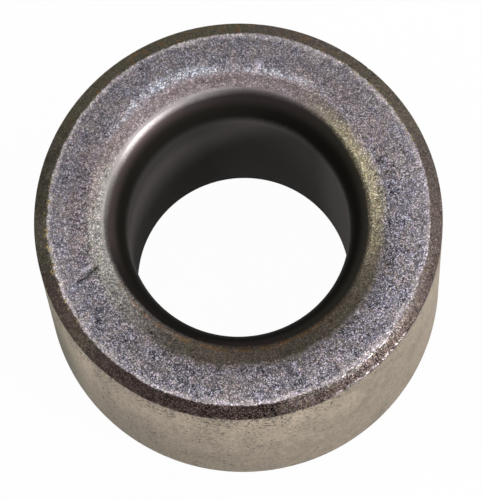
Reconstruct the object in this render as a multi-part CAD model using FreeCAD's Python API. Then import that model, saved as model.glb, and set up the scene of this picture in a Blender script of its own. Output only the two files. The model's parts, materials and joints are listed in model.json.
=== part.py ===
"""Pilot bushing: one sintered sleeve that carries the tip of a gearbox input shaft.

Lengths are in millimetres. The axis is Z. The plain end stands at z = 0, and the
rounded mouth, where the shaft enters, looks up.
"""
import FreeCAD, Part
import math
import os

# Driving sizes
outside_diameter = 27.8
bore_diameter = 15.1
length = 19.05

# Mouth of the bore at the top. A narrow lip slopes down from the end face by
# lip_tilt degrees. A rounded edge turns it down to bell_turn degrees, and a long
# bell turns the rest of the way into the bore.
lip_width = 0.91
lip_tilt = 19
lip_edge_round = 0.8
bell_turn = 41.5
bell_round = 4.2

# Foot of the bore: a plain bevel at 45 degrees
foot_bevel = 0.85

# Bevel round the outside at both ends, flatter than 45 degrees
bevel_across = 0.86
bevel_along = 0.56

# Slight rounding that tumbling leaves on both edges of each outer bevel
tumbled_round = 0.12

# The flat land left on each end face is never narrower than this
least_land = 0.4


def point(radius, height):
    """A point of the section, on the XZ plane."""
    return FreeCAD.Vector(radius, 0, height)


def line(start, end):
    """A straight edge of the section."""
    return Part.LineSegment(start, end).toShape()


def arc(centre, radius, start_angle, end_angle):
    """An arc of the section; angles are in degrees, from straight out to straight up."""
    def at(degrees):
        turn = math.radians(degrees)
        return centre + point(radius * math.cos(turn), radius * math.sin(turn))

    return Part.Arc(at(start_angle), at((start_angle + end_angle) / 2), at(end_angle))


def rounded_corner(before, corner, after, radius):
    """The arc of this radius that touches both sides of a corner."""
    back = (before - corner).normalize()
    ahead = (after - corner).normalize()
    half_angle = back.getAngle(ahead) / 2
    touch = radius / math.tan(half_angle)
    inwards = (back + ahead).normalize()
    crown = radius / math.sin(half_angle) - radius
    start = corner + back * touch
    end = corner + ahead * touch
    return Part.Arc(start, corner + inwards * crown, end)


def mouth(inner, room_on_face):
    """The lip's upper edge, and the two arcs below it: its rounded edge and the bell.
    The arcs touch the lip, each other and the bore."""
    tilt = math.radians(lip_tilt)
    turn = math.radians(bell_turn)
    edge_across = lip_edge_round * (math.sin(turn) - math.sin(tilt))
    bell_across = bell_round * (1 - math.sin(turn))
    mouth_across = lip_width + edge_across + bell_across
    fit = min(1, room_on_face / mouth_across)
    width = lip_width * fit
    edge_radius = lip_edge_round * fit
    bell_radius = bell_round * fit

    lip_top = point(inner + mouth_across * fit, length)
    lip_foot = lip_top - point(width, width * math.tan(tilt))
    edge_centre = lip_foot + point(
        edge_radius * math.sin(tilt), -edge_radius * math.cos(tilt))
    reach = bell_radius - edge_radius
    bell_centre = edge_centre + point(reach * math.sin(turn), -reach * math.cos(turn))
    edge = arc(edge_centre, edge_radius, 90 + lip_tilt, 90 + bell_turn)
    bell = arc(bell_centre, bell_radius, 90 + bell_turn, 180)
    return lip_top, edge, bell


def section():
    """Half of the sleeve's section: foot, outer wall between its bevels, mouth, bore."""
    outer = outside_diameter / 2
    inner = bore_diameter / 2
    room_on_face = outer - bevel_across - inner - least_land
    foot = min(foot_bevel, room_on_face)
    lip_top, lip_edge, bell = mouth(inner, room_on_face)

    foot_in_bore = point(inner, foot)
    foot_on_face = point(inner + foot, 0)
    outer_corners = [
        foot_on_face,
        point(outer - bevel_across, 0),
        point(outer, bevel_along),
        point(outer, length - bevel_along),
        point(outer - bevel_across, length),
        lip_top,
    ]

    edges = [line(foot_in_bore, foot_on_face)]
    reached = foot_on_face
    for before, corner, after in zip(outer_corners, outer_corners[1:], outer_corners[2:]):
        easing = rounded_corner(before, corner, after, tumbled_round)
        edges.append(line(reached, easing.StartPoint))
        edges.append(easing.toShape())
        reached = easing.EndPoint
    edges.append(line(reached, lip_top))
    edges.append(line(lip_top, lip_edge.StartPoint))
    edges.append(lip_edge.toShape())
    edges.append(bell.toShape())
    edges.append(line(bell.EndPoint, foot_in_bore))
    return Part.Face(Part.Wire(edges))


def pilot_bushing():
    """The whole sleeve, turned from its section."""
    axis_start = FreeCAD.Vector(0, 0, 0)
    axis_direction = FreeCAD.Vector(0, 0, 1)
    return section().revolve(axis_start, axis_direction, 360)


def main():
    os.makedirs("parts", exist_ok=True)
    shape = pilot_bushing()
    shape.exportStep("parts/pilot_bushing.step")
    box = shape.optimalBoundingBox(False, False)
    sizes = [round(size, 3) for size in (box.XLength, box.YLength, box.ZLength)]
    print("valid", shape.isValid(), "solids", len(shape.Solids))
    print("size", sizes, "volume mm3", round(shape.Volume, 1))


main()
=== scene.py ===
"""Looks of a sintered pilot bushing: its worn surface, a plain studio and the camera.

Lengths are in metres, except in the metal's material and where a name ends in _MM. The
bushing's axis is Z, its plain end stands on the floor at z = 0 and its rounded mouth
looks up. Bearings round it are in degrees from +X towards +Y.
"""

import json
import math

import bpy
import numpy as np
from bpy.props import FloatProperty, FloatVectorProperty, IntProperty, PointerProperty
from mathutils import Matrix, Vector


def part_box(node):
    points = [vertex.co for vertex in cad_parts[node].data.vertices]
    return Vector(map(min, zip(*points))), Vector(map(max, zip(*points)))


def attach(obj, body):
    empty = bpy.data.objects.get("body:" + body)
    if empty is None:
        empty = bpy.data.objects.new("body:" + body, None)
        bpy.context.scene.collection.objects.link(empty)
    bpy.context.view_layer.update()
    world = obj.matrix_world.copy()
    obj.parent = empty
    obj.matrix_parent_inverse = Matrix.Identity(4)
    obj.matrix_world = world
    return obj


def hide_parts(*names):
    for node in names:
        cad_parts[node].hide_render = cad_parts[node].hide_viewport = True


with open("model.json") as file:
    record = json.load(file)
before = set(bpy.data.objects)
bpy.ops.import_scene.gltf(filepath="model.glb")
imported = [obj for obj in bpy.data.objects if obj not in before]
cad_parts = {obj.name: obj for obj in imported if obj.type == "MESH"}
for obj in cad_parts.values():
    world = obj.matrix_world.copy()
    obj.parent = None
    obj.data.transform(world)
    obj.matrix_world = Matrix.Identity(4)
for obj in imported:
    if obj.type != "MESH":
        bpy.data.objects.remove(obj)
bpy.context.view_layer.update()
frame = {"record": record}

bl_info = {
    "name": "Pilot Bushing",
    "version": (1, 0, 0),
    "blender": (4, 5, 0),
    "location": "View3D > Sidebar > Bushing",
    "description": "Builds a worn sintered pilot bushing and a studio to look at it in",
    "category": "Object",
}

MM = 0.001

# What the frame says of the bushing
NODE = "pilot_bushing"
LOW_CORNER, HIGH_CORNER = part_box(NODE)
MOUNTS = {mount["name"]: mount for mount in frame["record"]["mounts"]}
OUTER_RADIUS = MOUNTS["outside_diameter"]["dims"]["r_mm"] / 1000
BORE_RADIUS = MOUNTS["bore"]["dims"]["r_mm"] / 1000
LENGTH = HIGH_CORNER.z - LOW_CORNER.z

# Columns of the sleeve's grid, all round the axis
COLUMNS = 720

# Height of the wall under the top bevel that has finer rows
FINE_WALL = 1.6 * MM

# Width over which the end face falls away to the lip, and to the outer bevel
MOUTH_CROWN_WIDTH = 1.25 * MM
RIM_CROWN_WIDTH = 0.8 * MM

# Height of the surface's slow waves
WAVE_HEIGHT = 0.006 * MM

# Bearing and elevation of each lamp, in degrees, and the width of its square
LAMPS = {
    "overhead": (-70, 86, 0.22),
    "right": (15, 52, 0.18),
    "left": (172, 52, 0.18),
    "key": (-36, 28, 0.12),
}
LAMP_DISTANCE = 0.4

# The floor reaches this far each way. To the camera it is nearly all an even white
FLOOR_REACH = 0.6
WHITE_SHARE = 0.97

# The camera's sensor, and the distance at which it starts to see
SENSOR_WIDTH_MM = 36
NEAREST_SEEN = 0.01


def length_setting(name, description, default):
    """A length, in metres."""
    return FloatProperty(
        name=name, description=description, default=default, unit="LENGTH",
        precision=6)


def angle_setting(name, description, degrees):
    """An angle, whose default is given in degrees."""
    return FloatProperty(
        name=name, description=description, default=math.radians(degrees),
        subtype="ANGLE")


def power_setting(name, description, watts):
    """The power of a lamp."""
    return FloatProperty(
        name=name, description=description, default=watts, min=0, unit="POWER")


def colour_setting(name, description, default):
    """A colour, as linear red, green and blue."""
    return FloatVectorProperty(
        name=name, description=description, default=default, subtype="COLOR",
        min=0, max=1)


class BushingSizes(bpy.types.PropertyGroup):
    """Sizes of the sleeve's section."""

    outer_radius: length_setting(
        "Outer radius", "Radius of the outer wall", OUTER_RADIUS)
    bore_radius: length_setting(
        "Bore radius", "Radius of the straight bore", BORE_RADIUS)
    length: length_setting(
        "Length", "Height from the plain end to the mouth end", LENGTH)
    lip_width: length_setting(
        "Lip width", "Width of the sloping lip, seen from the end", 0.91 * MM)
    lip_tilt: angle_setting("Lip tilt", "Slope of the lip below the end face", 19)
    lip_edge: length_setting(
        "Lip edge", "Radius that turns the lip down into the bell", 0.8 * MM)
    bell_round: length_setting(
        "Bell round", "Radius that turns the lip into the bore", 4.2 * MM)
    bell_turn: angle_setting(
        "Bell turn", "Slope at which the bell starts below the lip", 41.5)
    foot_bevel: length_setting(
        "Foot bevel", "Bevel of the bore at the plain end", 0.85 * MM)
    bevel_across: length_setting(
        "Bevel across", "Width of the outer bevels, seen from the end", 0.86 * MM)
    bevel_along: length_setting(
        "Bevel along", "Height of the outer bevels, seen from the side", 0.56 * MM)
    rim_round: length_setting(
        "Rim round", "Worn radius between the end faces and the bevels", 0.3 * MM)
    edge_round: length_setting(
        "Edge round", "Worn radius between the bevels and the wall", 0.12 * MM)
    mouth_crown: length_setting(
        "Mouth crown", "How far the end face falls away to the lip", 0.085 * MM)
    rim_crown: length_setting(
        "Rim crown", "How far the end face falls away to the bevel", 0.005 * MM)


class BushingFinish(bpy.types.PropertyGroup):
    """Relief and colours of the sintered metal."""

    seed: IntProperty(
        name="Seed", description="Starts the random grain and pits", default=7)
    grain_height: length_setting(
        "Grain height", "Height of the pressed grain's relief", 0.010 * MM)
    pit_depth: length_setting("Pit depth", "Depth of the deepest pores", 0.05 * MM)
    face_colour: colour_setting("Face", "Pressed end face", (0.2015, 0.1875, 0.218))
    stain_colour: colour_setting(
        "Face stain", "Browner patches of the end face", (0.192, 0.1685, 0.176))
    # Partly real polish and partly painted highlight, laid only at the back of the end
    # face
    polish_glint_colour: colour_setting(
        "Polish", "Polished flecks beside the lip", (0.36, 0.37, 0.41))
    # Real burnish; how much of it shows round the axis is painted light, and on the
    # bevels' edges at the front right it is a painted highlight
    rim_colour: colour_setting(
        "Rim", "Burnished rims of the end face", (0.4, 0.36, 0.37))
    lip_colour: colour_setting("Lip", "Rubbed lip of the mouth", (0.238, 0.2, 0.207))
    straw_colour: colour_setting(
        "Straw stain", "Heat and oil stain on the lip", (0.236, 0.208, 0.132))
    # Partly oil and partly painted shade on the near side of the lip
    oil_colour: colour_setting(
        "Oil stain", "Dark oil on the near side of the lip", (0.15, 0.12, 0.083))
    # Partly real polish and partly painted highlight: laid only at the back left of the
    # lip's edge, and as painted light on the right of the bore
    edge_colour: colour_setting(
        "Lip edge", "Polished edge between the lip and the bell", (0.47, 0.43, 0.43))
    rust_colour: colour_setting(
        "Rust stain", "Specks of rust along the lip's edge", (0.24, 0.125, 0.052))
    ash_colour: colour_setting(
        "Ash stain", "Grey-green stain on the left of the lip", (0.205, 0.196, 0.18))
    film_colour: colour_setting(
        "Throat film", "Green-black oil on the right of the bell",
        (0.075, 0.08, 0.052))
    spot_colour: colour_setting(
        "Rim spots", "Ochre specks along the end face's rim", (0.3, 0.235, 0.115))
    # Partly painted shade: the brown of the bell's upper part stands in for the dark it
    # reflects
    throat_colour: colour_setting(
        "Throat", "Brown upper part of the bell", (0.146, 0.112, 0.112))
    # Painted shade: the black of the bell's lower part stands in for the dark it
    # reflects
    bell_colour: colour_setting(
        "Bell", "Black lower part of the bell", (0.013, 0.0122, 0.01))
    # Painted shade: the bore's dark colour stands in for the shade inside it, also at
    # the foot
    bore_colour: colour_setting("Bore", "Oily straight bore", (0.1, 0.091, 0.087))
    # Partly painted shade: the bevels' dark colour stands in for the dark they reflect
    bevel_colour: colour_setting("Bevel", "Rough outer bevels", (0.15, 0.123, 0.11))
    # Partly dirt and partly painted shade on the near bevel
    umber_colour: colour_setting(
        "Bevel dirt", "Red-brown dirt on the near bevel", (0.085, 0.06, 0.054))
    olive_colour: colour_setting(
        "Bevel film", "Old oil film on the bevels", (0.122, 0.11, 0.078))
    wall_colour: colour_setting("Wall", "Sized outer wall", (0.58, 0.475, 0.365))
    tarnish_colour: colour_setting(
        "Wall tarnish", "Darker patches of the wall", (0.3, 0.249, 0.19))
    # Painted shade: the left of the wall darkened and tinted green
    moss_colour: colour_setting(
        "Wall film", "Green-grey film on the left of the wall", (0.25, 0.225, 0.15))
    # Also the colour of painted shade at the lower left of the wall and just under the
    # bevel
    grime_colour: colour_setting(
        "Grime", "Dark dirt in pores and streaks", (0.05, 0.045, 0.036))


class StudioSettings(bpy.types.PropertyGroup):
    """Camera and lamps."""

    focal_length: FloatProperty(
        name="Focal length", description="Lens, in millimetres", default=353.43,
        unit="CAMERA")
    distance: length_setting(
        "Distance", "From the camera to the middle of the end face", 0.333)
    elevation: angle_setting(
        "Elevation", "Height of the camera above the horizon", 75.68)
    pitch: angle_setting("Pitch", "Small turn of the camera up or down", 0.38)
    roll: angle_setting("Roll", "Turn of the camera about its line of sight", 5.24)
    overhead_power: power_setting(
        "Overhead power", "Power of the softbox overhead", 0.39)
    right_power: power_setting("Right power", "Power of the softbox on the right", 0.5)
    left_power: power_setting("Left power", "Power of the softbox on the left", 0.36)
    key_power: power_setting("Key power", "Power of the lamp at the front right", 0.86)
    surround: FloatProperty(
        name="Surround", description="Brightness of the grey room", default=0.2, min=0)


# Section of the sleeve


def straight(start, end, count):
    """Points from start up to, but not including, end: start plus equal shares of the
    way."""
    share = np.arange(count) / count
    return np.array(start) + share[:, None] * (np.array(end) - np.array(start))


def arc(centre, radius, start_angle, end_angle, count):
    """Points on a circle: centre plus radius times cosine and sine of evenly spaced
    angles, without the last."""
    share = np.arange(count) / count
    angle = start_angle + share * (end_angle - start_angle)
    return np.array(centre) + radius * np.stack([np.cos(angle), np.sin(angle)], axis=1)


def section(sizes):
    """The closed section as stretches of (radius, height) points: up the bore, over the
    mouth, down the wall and back under the plain end. Each stretch touches the next as
    on the real sleeve. The last number given for it is its count of points."""
    outer, inner, top = sizes.outer_radius, sizes.bore_radius, sizes.length
    across, along = sizes.bevel_across, sizes.bevel_along
    rim_ease, edge_ease = sizes.rim_round, sizes.edge_round
    lip_tilt, turn = sizes.lip_tilt, sizes.bell_turn
    bell, lip_edge = sizes.bell_round, sizes.lip_edge
    foot = sizes.foot_bevel
    right = math.pi / 2

    edge_centre_r = inner + bell - (bell - lip_edge) * math.sin(turn)
    lip_low_r = edge_centre_r - lip_edge * math.sin(lip_tilt)
    lip_low_z = top - sizes.lip_width * math.tan(lip_tilt)
    mouth = lip_low_r + sizes.lip_width
    edge_centre_z = lip_low_z - lip_edge * math.cos(lip_tilt)
    bore_top = edge_centre_z - (bell - lip_edge) * math.cos(turn)
    tilt = math.atan2(along, across)
    flat_touch = rim_ease * math.tan(tilt / 2)
    wall_touch = edge_ease * math.tan((right - tilt) / 2)
    rim = outer - across

    def on_bevel(distance):
        """Radius and drop of a point this far down the bevel from its corner."""
        return rim + distance * math.cos(tilt), distance * math.sin(tilt)

    near_r, near_drop = on_bevel(flat_touch)
    far_r, far_drop = on_bevel(math.hypot(across, along) - wall_touch)
    wall_top = top - along - wall_touch
    wall_low = along + wall_touch
    fine_end = wall_top - FINE_WALL

    return {
        "bore": straight((inner, foot), (inner, bore_top), 12),
        "bell": arc((inner + bell, bore_top), bell, math.pi, right + turn, 18),
        "lip_edge": arc(
            (edge_centre_r, edge_centre_z), lip_edge, right + turn,
            right + lip_tilt, 4),
        "lip": straight((lip_low_r, lip_low_z), (mouth, top), 12),
        "face": straight((mouth, top), (rim - flat_touch, top), 33),
        "top_rim": arc(
            (rim - flat_touch, top - rim_ease), rim_ease, right, right - tilt, 4),
        "top_bevel": straight((near_r, top - near_drop), (far_r, top - far_drop), 10),
        "top_edge": arc((outer - edge_ease, wall_top), edge_ease, right - tilt, 0, 4),
        "upper_wall": straight((outer, wall_top), (outer, fine_end), 10),
        "wall": straight((outer, fine_end), (outer, wall_low), 12),
        "low_edge": arc((outer - edge_ease, wall_low), edge_ease, 0, tilt - right, 4),
        "low_bevel": straight((far_r, far_drop), (near_r, near_drop), 3),
        "low_rim": arc((rim - flat_touch, rim_ease), rim_ease, tilt - right, -right, 3),
        "under": straight((rim - flat_touch, 0), (inner + foot, 0), 6),
        "foot": straight((inner + foot, 0), (inner, foot), 2),
    }


# Relief of the surface


def value_noise(points, cell, seed):
    """Smooth random heights from 0 to 1: each corner of a lattice of cubes has a random
    number, and a point takes the mean of its cube's eight, weighted by a smooth step of
    how near it is along each side. Large primes spread the corners over the numbers."""
    table = np.random.default_rng(seed).random(4096)
    place = points / cell
    corner = np.floor(place).astype(np.int64)
    inside = place - corner
    weight = inside * inside * (3 - 2 * inside)
    total = np.zeros(points.shape[:-1])
    for step in np.ndindex(2, 2, 2):
        x, y, z = np.moveaxis(corner + step, -1, 0)
        index = (x * 73856093 ^ y * 19349663 ^ z * 83492791) % len(table)
        share = np.where(step, weight, 1 - weight).prod(axis=-1)
        total += share * table[index]
    return total


def smooth_step(value, low, high):
    """0 below low, 1 above high, and a smooth rise between: 3t squared less 2t
    cubed."""
    share = np.clip((value - low) / (high - low), 0, 1)
    return share * share * (3 - 2 * share)


def scratch(points, start, end, bow, width):
    """How deep a point lies in a bowed groove, from 0 to 1: a bell curve of its
    distance from a line that leaves the straight one by bow at mid length, thin at both
    ends."""
    start, end = np.array(start), np.array(end)
    way = end - start
    length = np.hypot(*way)
    way = way / length
    across = np.array([-way[1], way[0]])
    offset = points[..., :2] - start
    share = offset @ way / length
    inside = np.clip(share, 0, 1)
    distance = np.hypot(
        (share - inside) * length, offset @ across - bow * 4 * inside * (1 - inside))
    local_width = width * (0.45 + 0.55 * np.sin(math.pi * inside))
    return np.exp(-((distance / local_width) ** 2))


# Dents in the mouth end, in millimetres from the axis: where each starts and ends, how
# far it bows, its width, how deep it is, and how dark, from 0 to 1
MARKS_MM = {
    "gouge": ((-11.3, -3.45), (-9.75, -2.4), -0.06, 0.13, 0.07, 0.6),
    "bruise": ((-10.15, -6.1), (-9.9, -6.3), 0.0, 0.24, 0.03, 0.5),
    "upper bruise": ((-10.2, -5.3), (-10.05, -5.5), 0.0, 0.2, 0.02, 0.4),
    "lip pit": ((-6.5, -7.3), (-6.48, -7.4), 0.0, 0.16, 0.02, 0.95),
    "lip dent": ((-3.9, -9.3), (-3.8, -9.32), 0.0, 0.15, 0.02, 0.8),
    "left pit": ((-5.2, -9.75), (-5.1, -9.7), 0.0, 0.15, 0.02, 0.8),
    "near pit": ((3.35, -11.3), (3.4, -11.35), 0.0, 0.15, 0.02, 0.8),
    "far pit": ((-5.8, 11.1), (-5.7, 11.05), 0.0, 0.13, 0.02, 0.8),
    "rim nick": ((8.1, 10.0), (8.2, 10.1), 0.0, 0.16, 0.07, 0.5),
    "left nick": ((-12.75, -2.1), (-12.8, -1.9), 0.0, 0.12, 0.05, 0.5),
}

# Bright scuffs on it, in the same way but with no depth and no darkness
SCUFFS_MM = {
    "gouge ridge": ((-11.0, -2.9), (-10.2, -2.35), 0.0, 0.1),
    "far scuff": ((1.95, 9.85), (2.6, 10.9), 0.0, 0.1),
    "near scuff": ((7.3, -7.45), (7.55, -7.2), 0.0, 0.08),
    "right scuff": ((6.7, -10.4), (6.95, -10.3), 0.0, 0.06),
}


def crown(radius, along, starts, sizes, mouth):
    """How far the mouth end falls away beside its flat middle: a parabola inwards to
    the mouth's radius, kept over the lip and gone by the bore, and one outwards to the
    rim, gone by the wall."""
    rim = sizes.outer_radius - sizes.bevel_across
    inward = np.clip(
        (mouth + MOUTH_CROWN_WIDTH - radius) / MOUTH_CROWN_WIDTH, 0, 1) ** 2
    inward *= smooth_step(along, starts["bell"], starts["lip_edge"])
    outward = np.clip((radius - rim + RIM_CROWN_WIDTH) / RIM_CROWN_WIDTH, 0, 1) ** 2
    outward *= 1 - smooth_step(along, starts["top_bevel"], starts["upper_wall"])
    on_end = (along >= starts["bell"]) & (along < starts["upper_wall"])
    return on_end * (sizes.mouth_crown * inward + sizes.rim_crown * outward)


def relief(points, along, starts, finish):
    """How far each point stands out of the true section, in metres, how dark it is and
    how bright its scuffs are. The height is grain plus slow waves, less pores, which
    are the tops of a coarser noise, and less the marks."""
    grain = value_noise(points, 0.30 * MM, finish.seed) - 0.5
    grain += 0.8 * (value_noise(points, 0.55 * MM, finish.seed + 1) - 0.5)
    pores = smooth_step(value_noise(points, 0.24 * MM, finish.seed + 2), 0.9, 0.99)
    waves = value_noise(points, 2.2 * MM, finish.seed + 3) - 0.5

    # Sizing leaves the wall smooth, the throat is smooth too, and the bevels are rough
    sized = smooth_step(along, starts["upper_wall"] + 0.3 * MM, starts["wall"])
    sized *= 1 - smooth_step(along, starts["low_edge"] - 0.1 * MM, starts["low_edge"])
    throat = 1 - smooth_step(along, starts["lip_edge"], starts["face"])
    bevel = smooth_step(along, starts["top_rim"], starts["top_bevel"])
    bevel *= 1 - smooth_step(along, starts["top_edge"], starts["upper_wall"])
    rough = (1 - 0.85 * sized) * (1 - 0.9 * throat) * (1 + 0.6 * bevel)

    height = finish.grain_height * rough * grain
    height -= finish.pit_depth * rough * pores
    height += WAVE_HEIGHT * waves * (1 - throat)

    on_end = smooth_step(along, starts["lip_edge"], starts["lip"])
    on_end *= 1 - smooth_step(along, starts["top_edge"], starts["upper_wall"])
    dark = 0.6 * pores * rough
    for start, end, bow, width, depth, darkness in MARKS_MM.values():
        mark = on_end * scratch(points / MM, start, end, bow, width)
        height -= depth * MM * mark
        dark = np.maximum(dark, darkness * mark)
    bright = np.zeros(points.shape[:-1])
    for start, end, bow, width in SCUFFS_MM.values():
        bright += on_end * scratch(points / MM, start, end, bow, width)
    return height, np.clip(dark, 0, 1), np.clip(bright, 0, 1)


# Mesh of the sleeve


def sleeve_surface(sizes, finish):
    """The sleeve as a closed grid: rows follow the section and columns go round the
    axis. A point is (radius times cosine, radius times sine, height), moved along the
    section's normal by its relief, never outwards. Also gives each row's distance along
    the section with the whole perimeter as one value more, the dark and bright marks,
    and the distance at which each stretch starts."""
    stretches = section(sizes)
    profile = np.concatenate(list(stretches.values()))
    step = np.roll(profile, -1, axis=0) - profile
    step_length = np.hypot(step[:, 0], step[:, 1])
    along = np.concatenate([[0], np.cumsum(step_length)])
    counts = np.cumsum([0] + [len(points) for points in stretches.values()])
    starts = {name: along[count] for name, count in zip(stretches, counts)}

    unit = step / step_length[:, None]
    tangent = unit + np.roll(unit, 1, axis=0)
    tangent /= np.hypot(tangent[:, 0], tangent[:, 1])[:, None]
    normal = np.stack([-tangent[:, 1], tangent[:, 0]], axis=1)

    angle = np.arange(COLUMNS) * 2 * math.pi / COLUMNS
    ring = np.stack([np.cos(angle), np.sin(angle)], axis=1)

    def swept(radius, height):
        """Radius by column round the axis, with height on Z."""
        flat = radius[..., None] * ring
        return np.concatenate([flat, height[..., None]], axis=-1)

    radius = np.repeat(profile[:, :1], COLUMNS, axis=1)
    height = np.repeat(profile[:, 1:], COLUMNS, axis=1)
    by_row = along[:-1, None]
    out, dark, bright = relief(swept(radius, height), by_row, starts, finish)
    mouth = stretches["face"][0, 0]
    out = np.minimum(out, 0.0) - crown(radius, by_row, starts, sizes, mouth)
    points = swept(radius + out * normal[:, :1], height + out * normal[:, 1:])
    points[..., 2] = np.clip(points[..., 2], 0, sizes.length)
    return points, along, dark, bright, starts


def map_strip(turn, share, left, low, width, height):
    """A strip of the map: across it by turns round the axis, and up it by the share of
    the way along the section."""
    return np.stack(
        np.broadcast_arrays(left + width * turn, low + height * share), axis=-1)


def map_ring(turn, share, middle_u, middle_v, first, last):
    """A ring of the map: round its middle by turns round the axis, at a radius that
    goes from first to last by the share of the way along the section."""
    angle = turn * 2 * math.pi
    reach = first + (last - first) * share
    return np.stack(
        [middle_u + reach * np.cos(angle), middle_v + reach * np.sin(angle)], axis=-1)


def sleeve_map(along, starts):
    """The map that unrolls the sleeve, at each corner of the grid's faces: the bore and
    the wall are strips, and the mouth end and the plain end are rings."""
    bell, wall, low_edge = starts["bell"], starts["upper_wall"], starts["low_edge"]
    # Where each island starts and ends along the section, and its place on the map
    islands = [
        (0.0, bell, map_strip, (0.012, 0.795, 0.976, 0.19)),
        (bell, wall, map_ring, (0.303, 0.490, 0.10846, 0.290)),
        (wall, low_edge, map_strip, (0.012, 0.008, 0.976, 0.18)),
        (low_edge, along[-1], map_ring, (0.795, 0.490, 0.185, 0.08325)),
    ]
    low, high = along[:-1], along[1:]
    turn = np.arange(COLUMNS + 1) / COLUMNS
    slack = 1e-9
    corners = np.zeros((len(low), COLUMNS, 4, 2))
    for start, end, island, layout in islands:
        rows = (low >= start - slack) & (high <= end + slack)
        lower, upper = (
            island(turn, ((value[rows] - start) / (end - start))[:, None], *layout)
            for value in (low, high))
        corners[rows, :, 0] = lower[:, :-1]
        corners[rows, :, 1] = upper[:, :-1]
        corners[rows, :, 2] = upper[:, 1:]
        corners[rows, :, 3] = lower[:, 1:]
    return corners.reshape(-1, 2)


def corner_rows(along):
    """The distance along the section at each corner of the grid's faces. The last row
    of faces runs up to the whole perimeter, so it doesn't fall back to 0 within it."""
    low, high = along[:-1], along[1:]
    corners = np.stack([low, high, high, low], axis=1)
    return np.repeat(corners[:, None], COLUMNS, axis=1)


def grid_mesh(name, points):
    """A mesh of four-sided faces from a grid that closes on itself both ways."""
    rows, columns = points.shape[:2]
    row, column = np.indices((rows, columns))
    after_row, after_column = (row + 1) % rows, (column + 1) % columns
    corners = np.stack([
        row * columns + column,
        after_row * columns + column,
        after_row * columns + after_column,
        row * columns + after_column,
    ], axis=-1).reshape(-1)
    faces = rows * columns
    mesh = bpy.data.meshes.new(name)
    mesh.vertices.add(rows * columns)
    mesh.vertices.foreach_set("co", points.reshape(-1))
    mesh.loops.add(faces * 4)
    mesh.loops.foreach_set("vertex_index", corners)
    mesh.polygons.add(faces)
    mesh.polygons.foreach_set("loop_start", np.arange(faces) * 4)
    mesh.polygons.foreach_set("use_smooth", np.ones(faces, bool))
    mesh.update(calc_edges=True)
    mesh.validate()
    return mesh


def add_values(mesh, name, values, domain="POINT"):
    """Stores one number for each vertex or face corner, for a material to read by
    name."""
    layer = mesh.attributes.new(name, "FLOAT", domain)
    values = np.ascontiguousarray(values, np.float32)
    layer.data.foreach_set("value", values.reshape(-1))


# Materials


class Shade:
    """A value in a material. Adding to it, subtracting from it, multiplying, dividing
    or raising it adds the node that does so."""

    def __init__(self, tree, socket):
        self.tree = tree
        self.socket = socket

    def math(self, operation, other, swapped=False):
        """A Math node of this value and another, which comes first when swapped."""
        first, second = (other, self) if swapped else (self, other)
        return self.tree.node(
            "ShaderNodeMath", {"operation": operation}, {0: first, 1: second})

    def __add__(self, other):
        return self.math("ADD", other)

    def __sub__(self, other):
        return self.math("SUBTRACT", other)

    def __mul__(self, other):
        return self.math("MULTIPLY", other)

    def __truediv__(self, other):
        return self.math("DIVIDE", other)

    def __pow__(self, other):
        return self.math("POWER", other)

    def __radd__(self, other):
        return self.math("ADD", other, True)

    def __rsub__(self, other):
        return self.math("SUBTRACT", other, True)

    def __rmul__(self, other):
        return self.math("MULTIPLY", other, True)

    def __rtruediv__(self, other):
        return self.math("DIVIDE", other, True)

    def greater(self, other):
        return self.math("MAXIMUM", other)

    def lesser(self, other):
        return self.math("MINIMUM", other)

    def between(self, low, high):
        """0 below low, 1 above high, and a smooth rise between."""
        return self.tree.node(
            "ShaderNodeMapRange", {"interpolation_type": "SMOOTHSTEP"},
            {"Value": self, "From Min": low, "From Max": high})


class ShadeTree:
    """Adds nodes to one material's tree."""

    def __init__(self, tree):
        self.tree = tree

    def node(self, kind, settings=None, values=None, output=0):
        """Adds a node with these settings, sets or links its inputs, and gives one of
        its outputs, by name or number."""
        made = self.tree.nodes.new(kind)
        for name, setting in (settings or {}).items():
            setattr(made, name, setting)
        for name, value in (values or {}).items():
            if isinstance(value, Shade):
                self.tree.links.new(value.socket, made.inputs[name])
            else:
                made.inputs[name].default_value = value
        return Shade(self, made.outputs[output]) if made.outputs else None

    def mix(self, share, first, second, blend="MIX"):
        """A mix of two colours, by a share of the second. Sockets 6 and 7 and output 2
        are the colours' own."""
        def filled(colour):
            return colour if isinstance(colour, Shade) else (*colour[:3], 1.0)
        return self.node(
            "ShaderNodeMix", {"data_type": "RGBA", "blend_type": blend},
            {0: share, 6: filled(first), 7: filled(second)}, output=2)

    def split(self, colour):
        """The red, green and blue parts of a colour."""
        return [
            self.node("ShaderNodeSeparateColor", None, {"Color": colour}, channel)
            for channel in ("Red", "Green", "Blue")]


def new_material(name):
    """An empty material, and what adds its nodes."""
    material = bpy.data.materials.new(name)
    material.use_nodes = True
    material.node_tree.nodes.clear()
    return material, ShadeTree(material.node_tree)


# How metallic and how rough each zone of the sleeve is, from the bore to the foot
BORE_GLOSS = (0.03, 0.45)
ZONE_GLOSS = {
    "in_bell": (0.1, 0.35),
    "high_bell": (0.85, 0.36),
    "in_lip": (0.8, 0.38),
    "in_edge": (0.9, 0.42),
    "in_face": (0.85, 0.36),
    "in_rim": (0.8, 0.44),
    "in_bevel": (0.6, 0.45),
    "worn_and_lit_edges": (0.9, 0.35),
    "in_wall": (0.3, 0.42),
    "in_low_bevel": (0.6, 0.45),
    "in_low_face": (0.85, 0.38),
    "in_foot": (0.03, 0.45),
}


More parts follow.
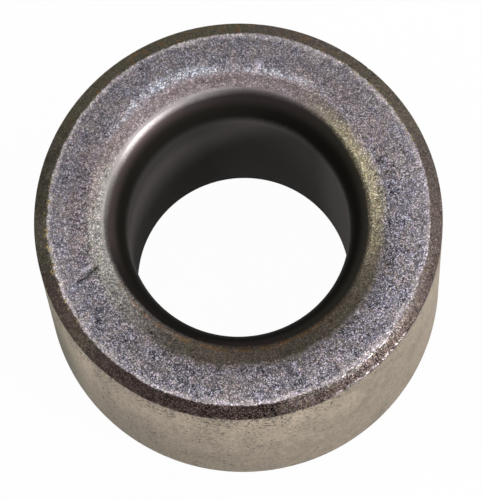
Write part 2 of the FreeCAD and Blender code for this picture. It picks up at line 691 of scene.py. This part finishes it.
class SinteredMetal:
    """The material of pressed and sintered metal: a speckled end face, dark rough
    bevels whose darkness is partly painted shade, a smooth sized wall, a rubbed lip,
    and a throat and bore whose darkness is painted shade. Its zones follow the distance
    along the section, and its stains and its painted light and shade the bearing round
    the axis. Lengths in it are in millimetres, and bearings are in degrees from +X
    towards +Y."""

    def __init__(self, finish, starts):
        self.finish = finish
        self.starts = {name: start / MM for name, start in starts.items()}
        self.material, self.tree = new_material("sintered_metal")
        node = self.tree.node
        self.place = node(
            "ShaderNodeVectorMath", {"operation": "SCALE"},
            {"Vector": node("ShaderNodeTexCoord", output="Object"), "Scale": 1 / MM})
        self.x, self.y = (
            node("ShaderNodeSeparateXYZ", None, {"Vector": self.place}, axis)
            for axis in "XY")
        self.radius = (self.x * self.x + self.y * self.y) ** 0.5
        self.along = self.stored("along") * (1 / MM)

        self.slow = self.noise(2.4, 3.0)
        self.patchy = self.noise(0.9, 3.0, shift=4.0)
        self.fine = self.noise(0.22, shift=9.0)
        self.grain, self.warm, self.cold = self.cells(0.065)
        self.coarse, self.glint, self.speck = self.cells(0.13)
        self.set_zones()

    def stored(self, name):
        """A number that the mesh carries under this name."""
        return self.tree.node(
            "ShaderNodeAttribute", {"attribute_name": name}, output="Fac")

    def noise(self, size, detail=2.0, stretch=1.0, shift=0.0, output="Fac"):
        """Smooth noise whose lumps are this size, stretched along Z. Output Color is
        three such noises."""
        moved = self.tree.node(
            "ShaderNodeMapping", None,
            {"Vector": self.place, "Location": (shift, shift, shift),
             "Scale": (1.0, 1.0, 1 / stretch)})
        return self.tree.node(
            "ShaderNodeTexNoise", {"noise_dimensions": "3D"},
            {"Vector": moved, "Scale": 1 / size, "Detail": detail, "Roughness": 0.55},
            output)

    def cell_texture(self, size, output):
        """Cells of this size: their random Color, or the Distance from their
        middles."""
        return self.tree.node(
            "ShaderNodeTexVoronoi", {"voronoi_dimensions": "3D", "feature": "F1"},
            {"Vector": self.place, "Scale": 1 / size, "Randomness": 1.0}, output)

    def cells(self, size):
        """Three random numbers for each grain of this size."""
        return self.tree.split(self.cell_texture(size, "Color"))

    def spots(self, size, share):
        """Round spots in this share of the cells of a size."""
        distance = self.cell_texture(size, "Distance")
        chance = self.cells(size)[0]
        present = (share - chance).between(0.0, 0.05)
        return present * (1.0 - distance.between(0.2, 0.45))

    def toward(self, bearing, reach):
        """1 on the side of the sleeve at a bearing, 0 past a reach from it."""
        angle = math.radians(bearing)
        share = (self.x * math.cos(angle) + self.y * math.sin(angle)) / self.radius
        return share.between(
            math.cos(math.radians(reach)), math.cos(math.radians(reach * 0.35)))

    def sides(self, *sides):
        """The sum of some sides of the sleeve: each a bearing, a reach and a
        strength."""
        first, *others = (
            self.toward(bearing, reach) * strength
            for bearing, reach, strength in sides)
        return sum(others, first)

    def past(self, stretch, low, high, shift=0.0):
        """0 up to low beyond the start of a stretch of the section, and 1 from high on.
        A shift brings both nearer the bore."""
        start = self.starts[stretch]
        return (self.along + shift).between(start + low, start + high)

    def stained(self, colour, *stains):
        """A colour under stains: each a share of cover and the name of its colour."""
        for share, name in stains:
            stain = getattr(self.finish, name + "_colour")
            colour = self.tree.mix(share, colour, stain)
        return colour

    def set_zones(self):
        """Sets how far each point lies in each zone of the sleeve, from 0 to 1. Most
        zones last to the end of the section, and later ones are laid over them. Noise
        frays their borders, and some sides move them."""
        past, toward, starts = self.past, self.toward, self.starts
        uneven, rough = self.patchy - 0.5, self.fine - 0.5

        self.in_bell = past("bell", 0.3, 1.5, rough * 0.3 + toward(15, 40) * 0.4)
        self.high_bell = self.along.between(
            starts["bell"] + 2.0, starts["lip_edge"]) ** 1.5

        wider = self.sides(
            (0, 45, 0.12), (236, 50, 0.2), (275, 50, 0.04), (62, 40, -0.12),
            (192, 24, -0.08), (158, 24, 0.08), (332, 26, -0.1))
        self.rubbed = toward(125, 95)
        soft_lip = past("lip_edge", -0.42, 0.08, wider)
        crisp_lip = past("lip_edge", -0.3, 0.08, wider + rough * 0.4)
        self.in_lip = crisp_lip + (soft_lip - crisp_lip) * self.rubbed
        self.in_edge = self.in_lip * (1.0 - past("lip", -0.05, 0.25))
        # Partly oil and partly painted shade: the near side of the lip and of the
        # throat darker
        self.oil_and_shade = toward(284, 71)

        self.in_face = past("face", -0.2, 0.6, uneven * 1.3 + toward(12, 50) * 0.5)
        self.outer_face = past("face", 0.6, 1.6) * self.in_face
        self.in_rim = past("top_rim", -0.4, 0.0, uneven * 0.5)
        wavy = rough * 0.3 + (self.slow - 0.5) * 0.4
        self.in_bevel = past(
            "top_bevel", -0.12, -0.02, wavy + toward(150, 80) * 0.08)
        self.in_wall = past("top_edge", 0.08, 0.2, uneven * 0.5 + rough * 0.6)
        self.in_low_bevel = past("low_edge", 0.0, 0.14)
        self.in_low_face = past("low_rim", 0.0, 0.1)
        self.in_foot = past("foot", -0.1, 0.0)

        # Polish and painted glints: a broken pale band just outside the mouth, only at
        # the back, where a highlight falls
        spread = self.sides((112, 22, 0.65), (60, 18, 0.25))
        band = past("face", 0.08, 0.33, toward(114, 20) * -0.15)
        band = band * (1.0 - past("face", 0.2, 0.6, uneven * 0.6 - spread))
        band = band * toward(101, 54) * (1.0 - toward(89, 8) * 0.5)
        flecked = (self.patchy * 0.7 + self.fine * 1.3 - 0.5).between(0.4, 0.58)
        self.polish_and_glints = band * flecked

        # Wear and painted highlight: pale broken lines along both edges of the bevel,
        # only at the front right, where the key lamp shines
        edges = past("top_edge", -0.2, -0.02) + 1.0 - past("top_bevel", 0.02, 0.16)
        edges = edges * self.in_bevel * toward(305, 17)
        flecked = (self.patchy * 0.6 + self.fine * 0.4).between(0.42, 0.52)
        self.worn_and_lit_edges = edges * flecked

    def face(self):
        """The pressed end face, with browner patches, dull beside the lip."""
        patches = (self.slow * 0.5 + self.patchy * 0.5).between(0.42, 0.58)
        dull = self.sides((165, 34, 1.5), (45, 34, 1.0), (270, 50, 0.5))
        dull = dull * (1.0 - self.past("face", 1.0, 2.2)) * 0.3
        return self.stained(
            self.finish.face_colour, (patches, "stain"), (dull, "throat"))

    def lip(self):
        """The rubbed lip: straw on the right, dark in front, partly oil and partly
        painted shade, ash on the left, and rust along its inner edge. It has painted
        shade at the back left too."""
        toward, starts = self.toward, self.starts
        outer = self.past("lip", 0.3, 0.6)
        outer = outer * self.sides((66, 62, 1.0), (102, 22, 0.7), (156, 26, 1.5))
        film = self.slow.between(0.45, 0.6) * toward(264, 56) + toward(308, 36) * 0.7
        line = self.along.between(starts["lip_edge"] - 0.1, starts["lip"] - 0.3)
        line = line * toward(258, 66) * (1.0 - self.past("lip", -0.15, 0.15))
        return self.stained(
            self.finish.lip_colour,
            (toward(8, 56) * 0.85, "straw"),
            (self.oil_and_shade * 0.75, "oil"),
            (toward(302, 24) * 0.1, "bell"),
            # Painted shade: the lip darker at the back left
            (toward(150, 30) * 0.3, "throat"),
            (toward(186, 54) * 0.85, "ash"),
            (outer * 0.35, "throat"),
            (film * 0.45, "olive"),
            (line * self.patchy.between(0.38, 0.55) * 0.55, "rust"))

    def bevel(self):
        """The rough outer bevels: olive film on the left, red-brown in front, partly
        dirt and partly painted shade, and rust spots behind. Their low half at the
        front right is painted shade, with a touch of painted highlight there."""
        toward, slow = self.toward, self.slow
        spots = self.noise(0.5, shift=25.0).between(0.55, 0.66)
        low_side = self.past("top_bevel", 0.15, 0.5)
        # Partly dirt and partly painted shade, in front and at the front left
        dirt_and_shade = self.sides((248, 40, 1.0), (200, 15, 0.75)).between(0.0, 1.0)
        return self.stained(
            self.finish.bevel_colour,
            (toward(145, 115) * slow.between(0.3, 0.55), "olive"),
            (spots * (0.1 + toward(95, 70) * 0.4), "rust"),
            (dirt_and_shade, "umber"),
            # Painted shade in the low half at the front right, and a painted highlight
            # there
            (low_side * toward(312, 44) * 0.78, "umber"),
            (toward(314, 26) * 0.03, "rim"),
            (toward(172, 34) * (0.25 + slow.between(0.4, 0.6) * 0.4), "grime"),
            (toward(2, 24) * 0.3, "umber"),
            (toward(36, 26) * 0.45, "olive"))

    def throat(self):
        """The upper part of the bell, whose brown is partly painted shade, with more
        painted shade in front, at the back right and at the front left, and green-black
        on the right.
        """
        toward = self.toward
        return self.stained(
            self.finish.throat_colour,
            (self.oil_and_shade * 0.45, "bell"),
            (toward(58, 60) * 0.5, "bell"),
            (toward(345, 82) * 0.6, "film"),
            (toward(222, 42) * 0.8, "bell"))

    def bore(self):
        """The straight bore, whose dark colour is painted shade, with painted light on
        the right and painted shade at the top of its far side."""
        black = self.past("bell", -4.0, 0.4) * self.toward(135, 62)
        return self.stained(
            self.finish.bore_colour,
            (self.sides((4, 40, 0.28), (62, 45, 0.1)), "edge"), (black * 0.45, "bell"))

    def wall(self):
        """The sized outer wall: blotches and streaks of tarnish, darker towards the
        bottom, painted shade tinted green on the left and darker low down, and dark
        pits that crowd under the bevel."""
        toward, noise, starts = self.toward, self.noise, self.starts
        blotches = noise(1.8, 3.0, 3.0, shift=2.0)
        streaks = noise(0.35, stretch=8.0, shift=5.0)
        smudges = noise(2.2, 3.0, 2.4, shift=21.0).between(0.5, 0.64)
        lower = self.along.between(starts["wall"] - 1.0, starts["low_edge"] - 2.0)
        below = self.along.between(starts["upper_wall"], starts["low_edge"] - 3.0)
        under_bevel = 1.0 - self.past("top_edge", 0.5, 6.0)
        crowded = under_bevel * 0.08 + (blotches - 0.5) * 0.2 - toward(328, 50) * 0.06
        pits = (noise(0.2, stretch=1.6, shift=13.0) + crowded).between(0.62, 0.68) * 0.8
        pits = pits.greater(self.spots(0.36, 0.05 + crowded * 1.5) * 0.7)
        shadowed = 1.0 - self.past("top_edge", 0.1, 0.6)
        return self.stained(
            self.finish.wall_colour,
            (blotches.between(0.3, 0.7) * 0.45, "tarnish"),
            (streaks.between(0.4, 0.65) * 0.2, "tarnish"),
            # Darker towards the bottom
            (lower * 0.95, "tarnish"),
            (toward(338, 60) * 0.85, "tarnish"),
            # Painted shade on the left of the wall, darker low down
            (toward(186, 30) * 0.9, "moss"),
            (smudges * (toward(322, 46) + 0.3) * 0.14, "grime"),
            (below * toward(186, 30) * 0.5, "grime"),
            (pits, "grime"),
            (shadowed * self.fine.between(0.45, 0.6) * 0.4, "grime"))

    def layers(self):
        """The colours of the zones, laid over each other from the bore to the foot."""
        past, toward, finish = self.past, self.toward, self.finish
        face, bevel = self.face(), self.bevel()
        # Painted shade for the bell, a touch browner at the back left
        bell = self.stained(finish.bell_colour, (toward(112, 50) * 0.04, "throat"))
        # Burnish with painted light: the rims paler at the back and darker at the right
        # and at the front left
        burnish_and_sheen = 0.82 + self.sides((0, 34, -0.35), (222, 24, -0.3), (100, 40, 0.18))
        at_rim = past("top_rim", -0.3, 0.0) * (1.0 - past("top_bevel", 0.0, 0.25))
        specks = self.noise(0.26, shift=29.0).between(0.56, 0.64) * at_rim
        specks = specks * self.sides((185, 30, 1.0), (45, 40, 0.7))

        colour = self.bore()
        for share, layer in (
                (self.in_bell, bell),
                (self.high_bell, self.throat()),
                (self.in_lip, self.lip()),
                # Painted highlight: the pale edge colour only at the back left, where
                # the key lamp's highlight falls
                (self.in_edge * toward(119, 38) * 0.75, finish.edge_colour),
                (self.in_face, face),
                (self.in_rim * burnish_and_sheen, finish.rim_colour),
                (self.polish_and_glints, finish.polish_glint_colour),
                (self.in_bevel, bevel),
                (specks, finish.spot_colour),
                (self.worn_and_lit_edges * 0.7, finish.rim_colour),
                (self.in_wall, self.wall()),
                (self.in_low_bevel, bevel),
                (self.in_low_face, face),
                # The foot takes the bore's painted shade
                (self.in_foot, finish.bore_colour)):
            colour = self.tree.mix(share, colour, layer)
        return colour

    def speckling(self):
        """How strongly the grain shows: full on the end face, weaker on the lip and the
        bevels, slight on the wall, and none in the bore."""
        toward = self.toward
        speckle = self.in_lip * (1.0 - self.in_wall * 0.8)
        speckle = speckle + self.in_low_bevel * 0.8 - self.in_foot * 0.6
        for share in (
                0.72 + 0.28 * self.in_face,
                1.0 - self.in_edge * self.rubbed * 0.9,
                1.0 - self.in_rim * 0.25 - self.in_bevel * (
                    0.15 - toward(285, 50) * 0.45),
                1.0 - self.oil_and_shade * (1.0 - self.in_face) * 0.35,
                1.0 - toward(95, 90) * 0.25,
                1.0 - self.outer_face * self.sides((188, 42, 0.22), (14, 30, 0.12)),
                1.0 - self.in_bevel * toward(105, 60) * 0.25):
            speckle = speckle * share
        return speckle

    def brightness(self, speckle):
        """How bright each point is beside its colour: grains, patches, glints and dark
        grains where it is speckled, painted light on the lip, brighter and duller sides
        of the end face, and the mesh's own marks. The average of a random number's
        fourth power, 0.2, or of its square, 0.33, is taken off, so grains leave the
        mean as it is."""
        past, toward = self.past, self.toward
        right = toward(0, 60)
        grains = (self.grain ** 4 - 0.2) * 2.7
        grains = grains + (self.coarse * self.coarse - 0.33) * 0.4
        patches = (self.patchy - 0.5) * (1.1 - right * 0.4)
        mottles = (self.slow - 0.5) * (1.1 - right * 0.7) * self.in_face
        lumps = (self.noise(0.42, 1.0, shift=17.0) - 0.5) * 0.7
        glints = self.glint.between(0.94, 0.99)
        dark_grains = 1.0 - self.speck.between(0.02, 0.05)
        wall_grain = self.noise(0.26, stretch=2.0, shift=11.0) - 0.5
        shade = 1.0 + (grains + patches + mottles + lumps + glints) * speckle
        shade = shade + wall_grain * 0.6 * self.in_wall
        shade = shade * (1.0 - dark_grains * 0.65 * speckle)

        # Painted light: the lip's inner edge brighter at the right, at the front left,
        # in front and at the left
        inner_edge = self.in_lip * (1.0 - past("lip", -0.25, 0.1))
        painted_lip_light = self.sides((5, 50, 1.0), (224, 42, 0.9), (275, 50, 0.3), (162, 14, 0.45))
        worn_patch = past("face", 0.8, 1.2, self.patchy - 0.5)
        worn_patch = worn_patch * (1.0 - past("face", 1.7, 2.2))
        for gain in (
                inner_edge * painted_lip_light,
                # Painted light on the lip at the front left
                self.in_lip * (1.0 - self.in_face) * toward(210, 22) * 0.15,
                worn_patch * toward(232, 48) * -0.22,
                self.outer_face * self.sides((194, 26, 0.2), (2, 44, 0.12))):
            shade = shade * (1.0 + gain)
        return shade * (1.0 - self.stored("dark")) + self.stored("bright") * 1.3

    def tinted(self, colour, shade, speckle):
        """A colour at its brightness, with reddish and bluish flecks where it is
        speckled."""
        flecks = self.noise(0.28, 1.0, shift=21.0, output="Color")
        reddish, _, bluish = self.tree.split(flecks)
        red = (self.warm - 0.5) * 0.1 + (reddish - 0.5) * 0.35
        blue = (self.cold - 0.5) * 0.12 + (bluish - 0.5) * 0.48
        tint = self.tree.node("ShaderNodeCombineColor", None, {
            "Red": shade * (1.0 + red * speckle),
            "Green": shade,
            "Blue": shade * (1.0 + blue * speckle)})
        return self.tree.mix(1.0, colour, tint, "MULTIPLY")

    def gloss(self):
        """How metallic and how rough each point is."""
        metallic, roughness = BORE_GLOSS
        for zone, (metal, rough) in ZONE_GLOSS.items():
            share = getattr(self, zone)
            metallic = metallic + (metal - metallic) * share
            roughness = roughness + (rough - roughness) * share
        return metallic, roughness + (self.fine - 0.5) * 0.16

    def build(self):
        """Joins colour, gloss and bump in the shader, and gives the material."""
        speckle = self.speckling()
        colour = self.tinted(self.layers(), self.brightness(speckle), speckle)
        metallic, roughness = self.gloss()
        height = (self.grain * 0.5 + self.fine) * (speckle * 0.95 + 0.05)
        bump = self.tree.node(
            "ShaderNodeBump", None,
            {"Strength": 0.6, "Distance": 0.02 * MM, "Height": height})
        shader = self.tree.node(
            "ShaderNodeBsdfPrincipled", None,
            {"Base Color": colour, "Metallic": metallic, "Roughness": roughness,
             "Specular IOR Level": 0.0, "Normal": bump})
        self.tree.node("ShaderNodeOutputMaterial", None, {"Surface": shader})
        return self.material


def floor_material():
    """Pale paper that takes the bushing's shadow. The camera and the metal's
    reflections see it as an even white."""
    material, tree = new_material("white_sweep")
    paper = tree.node(
        "ShaderNodeBsdfDiffuse", None, {"Color": (0.8, 0.8, 0.8, 1.0)})
    white = tree.node(
        "ShaderNodeEmission", None, {"Color": (1.0, 1.0, 1.0, 1.0), "Strength": 1.0})
    camera, glossy, through = (
        tree.node("ShaderNodeLightPath", output=f"Is {ray} Ray")
        for ray in ("Camera", "Glossy", "Transmission"))
    seen = (camera + glossy + through).lesser(1.0) * WHITE_SHARE
    mixed = tree.node("ShaderNodeMixShader", None, {0: seen, 1: paper, 2: white})
    tree.node("ShaderNodeOutputMaterial", None, {"Surface": mixed})
    return material


# Operators


def add_object(name, data):
    """Adds an object of this data to the scene, unturned at the origin."""
    made = bpy.data.objects.new(name, data)
    bpy.context.scene.collection.objects.link(made)
    return made


class OBJECT_OT_sintered_sleeve(bpy.types.Operator):
    """Build the worn sintered sleeve in place of its plain solid"""

    bl_idname = "object.sintered_sleeve"
    bl_label = "Sintered Sleeve"

    def execute(self, context):
        sizes = context.scene.bushing_sizes
        finish = context.scene.bushing_finish
        points, along, dark, bright, starts = sleeve_surface(sizes, finish)
        mesh = grid_mesh("sintered_sleeve", points)
        corners = sleeve_map(along, starts)
        layer = mesh.uv_layers.new(name="OFBake")
        layer.uv.foreach_set("vector", corners.astype(np.float32).reshape(-1))
        add_values(mesh, "along", corner_rows(along), "CORNER")
        add_values(mesh, "dark", dark)
        add_values(mesh, "bright", bright)
        mesh.materials.append(SinteredMetal(finish, starts).build())
        sleeve = add_object("sintered_sleeve", mesh)
        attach(sleeve, "root")
        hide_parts(NODE)
        return {"FINISHED"}


class SCENE_OT_bushing_studio(bpy.types.Operator):
    """Set up the white floor, the lamps and the camera"""

    bl_idname = "scene.bushing_studio"
    bl_label = "Studio"

    def execute(self, context):
        scene = context.scene
        studio = scene.bushing_studio
        top = Vector((0, 0, scene.bushing_sizes.length))
        self.add_floor()
        for name, (bearing, elevation, side) in LAMPS.items():
            power = getattr(studio, name + "_power")
            self.add_lamp(name, top, bearing, elevation, side, power)
        self.add_camera(scene, studio, top)
        self.add_room(scene, studio)
        scene.view_settings.view_transform = "Standard"
        return {"FINISHED"}

    def add_floor(self):
        """A flat square under the bushing."""
        half = FLOOR_REACH
        mesh = bpy.data.meshes.new("floor")
        corners = [
            (-half, -half, 0), (half, -half, 0), (half, half, 0), (-half, half, 0)]
        mesh.from_pydata(corners, [], [(0, 1, 2, 3)])
        mesh.materials.append(floor_material())
        add_object("floor", mesh)

    def add_lamp(self, name, aim, bearing, elevation, side, power):
        """A square lamp that faces aim from a bearing and an elevation in degrees."""
        flat = math.cos(math.radians(elevation))
        away = Vector((
            flat * math.cos(math.radians(bearing)),
            flat * math.sin(math.radians(bearing)),
            math.sin(math.radians(elevation))))
        data = bpy.data.lights.new(name, "AREA")
        data.energy = power
        data.size = side
        lamp = add_object(name, data)
        lamp.matrix_world = (
            Matrix.Translation(aim + away * LAMP_DISTANCE)
            @ away.to_track_quat("Z", "Y").to_matrix().to_4x4())

    def add_camera(self, scene, studio, target):
        """The camera looks along +Y and down, then turns by its pitch and roll."""
        data = bpy.data.cameras.new("camera")
        data.lens = studio.focal_length
        data.sensor_width = SENSOR_WIDTH_MM
        data.clip_start = NEAREST_SEEN
        camera = add_object("camera", data)
        elevation = studio.elevation
        back = Vector((0, -math.cos(elevation), math.sin(elevation)))
        right = Vector((1, 0, 0))
        up = back.cross(right)
        level = Matrix((right, up, back)).transposed()
        turned = (
            level @ Matrix.Rotation(-studio.pitch, 3, "X")
            @ Matrix.Rotation(-studio.roll, 3, "Z"))
        camera.matrix_world = (
            Matrix.Translation(target + back * studio.distance) @ turned.to_4x4())
        scene.camera = camera

    def add_room(self, scene, studio):
        """An even grey room, which fills the shadows."""
        world = bpy.data.worlds.new("room")
        world.use_nodes = True
        background = world.node_tree.nodes["Background"]
        grey = studio.surround
        background.inputs["Color"].default_value = (grey, grey, grey, 1.0)
        scene.world = world


class VIEW3D_PT_pilot_bushing(bpy.types.Panel):
    """Lists the steps that build the bushing, and their settings"""

    bl_label = "Pilot Bushing"
    bl_space_type = "VIEW_3D"
    bl_region_type = "UI"
    bl_category = "Bushing"

    def draw(self, context):
        for operator in OPERATORS:
            self.layout.operator(operator.bl_idname)
        for group in SETTINGS:
            settings = getattr(context.scene, group)
            for name in settings.bl_rna.properties.keys():
                if name not in ("rna_type", "name"):
                    self.layout.prop(settings, name)


SETTINGS = {
    "bushing_sizes": BushingSizes,
    "bushing_finish": BushingFinish,
    "bushing_studio": StudioSettings,
}
OPERATORS = (OBJECT_OT_sintered_sleeve, SCENE_OT_bushing_studio)


def register():
    for group in SETTINGS.values():
        bpy.utils.register_class(group)
    for name, group in SETTINGS.items():
        setattr(bpy.types.Scene, name, PointerProperty(type=group))
    for operator in OPERATORS:
        bpy.utils.register_class(operator)
    bpy.utils.register_class(VIEW3D_PT_pilot_bushing)


def unregister():
    bpy.utils.unregister_class(VIEW3D_PT_pilot_bushing)
    for operator in reversed(OPERATORS):
        bpy.utils.unregister_class(operator)
    for name in SETTINGS:
        delattr(bpy.types.Scene, name)
    for group in SETTINGS.values():
        bpy.utils.unregister_class(group)


def main():
    """Builds everything."""
    register()
    bpy.ops.object.sintered_sleeve()
    bpy.ops.scene.bushing_studio()


if __name__ == "__main__":
    main()
